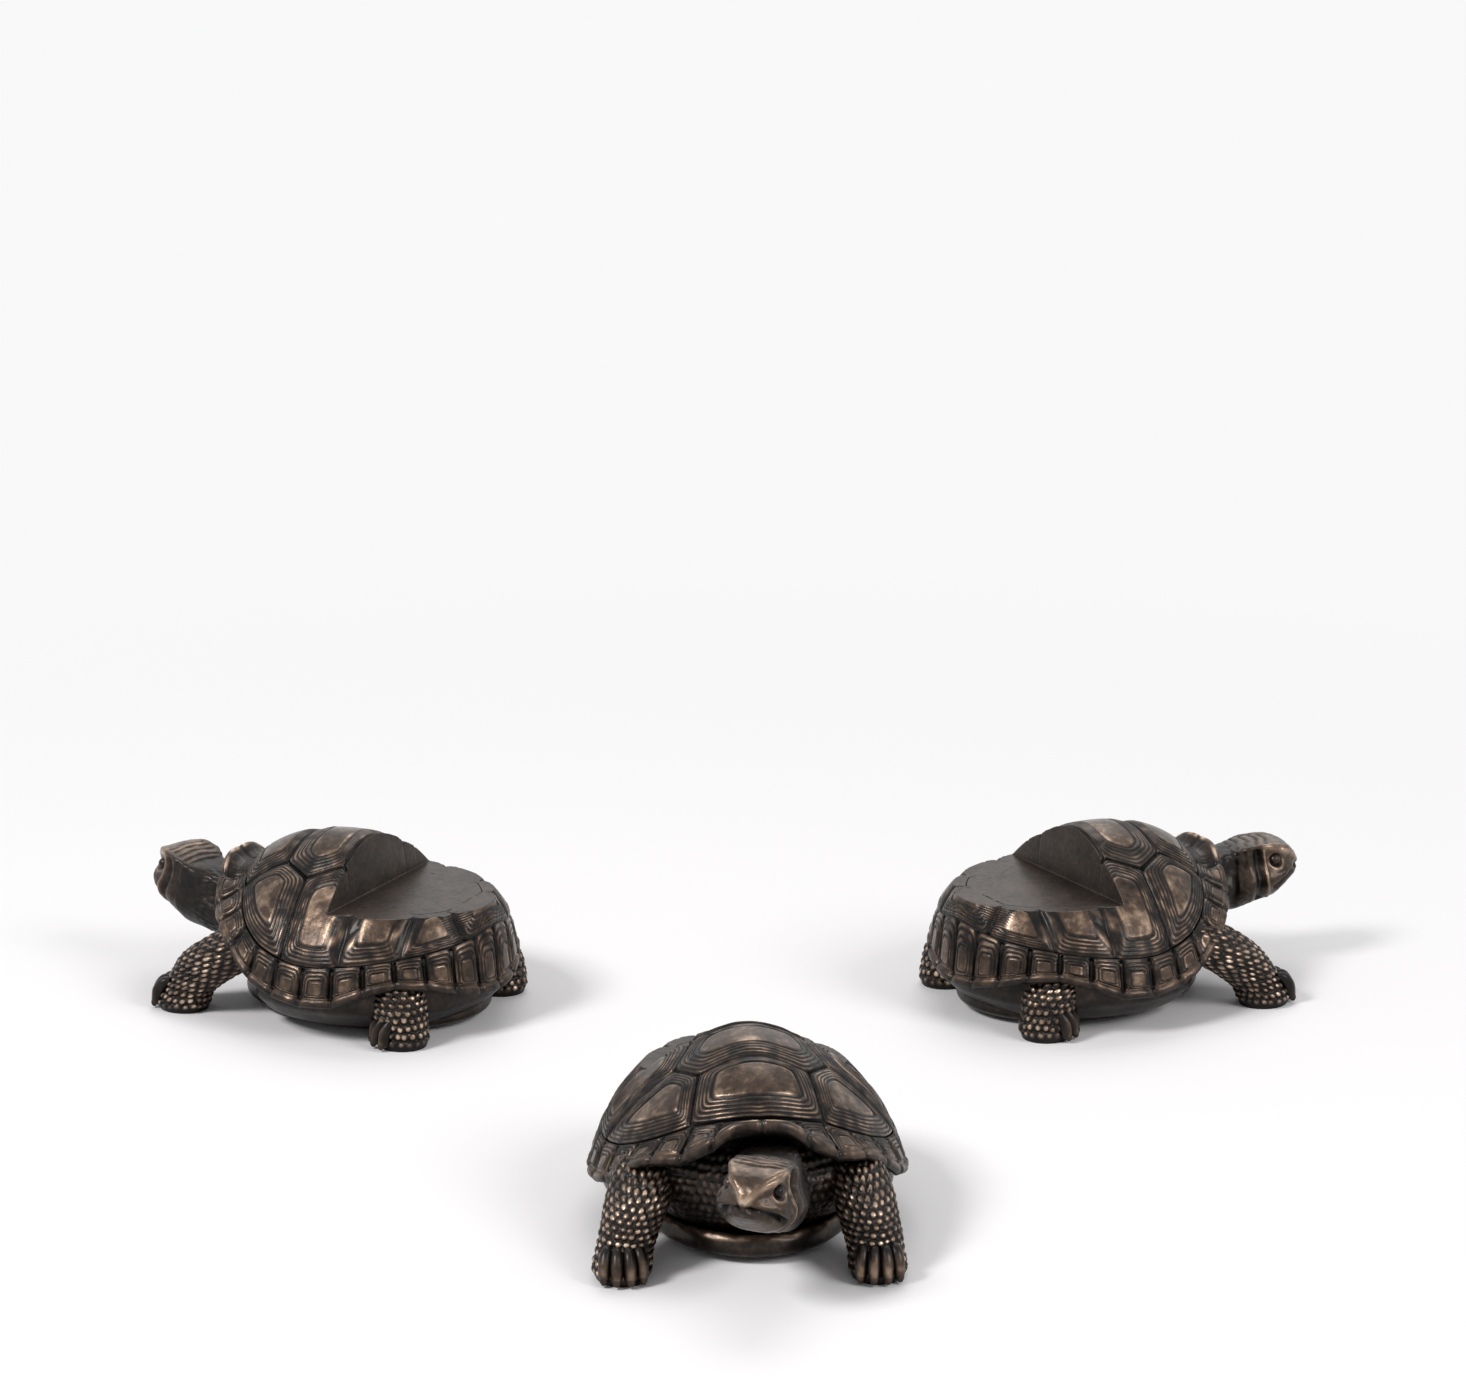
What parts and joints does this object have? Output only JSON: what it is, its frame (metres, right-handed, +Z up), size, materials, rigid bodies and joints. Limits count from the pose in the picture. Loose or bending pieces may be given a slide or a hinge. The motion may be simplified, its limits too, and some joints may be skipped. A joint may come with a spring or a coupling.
{
  "type": "pot feet",
  "caption": "Set of tortoise-shaped pot feet in aged bronze finish, each with a flat step behind the shell that lifts a round planter off the ground.",
  "frame": {"origin": "on the ground, under the middle of the set's overall box", "axes": "+Z up, +X across the set from the left foot to the right one, -Y the way the front foot faces"},
  "size_m": [0.256, 0.2274, 0.0389],
  "materials": {
    "aged_bronze": "cast resin with an aged bronze finish: near black in the recesses, rubbed brown gold on the high spots"
  },
  "bodies": {
    "root": {"front_tortoise_foot": "aged_bronze", "left_tortoise_foot": "aged_bronze", "right_tortoise_foot": "aged_bronze"}
  },
  "joints": []
}
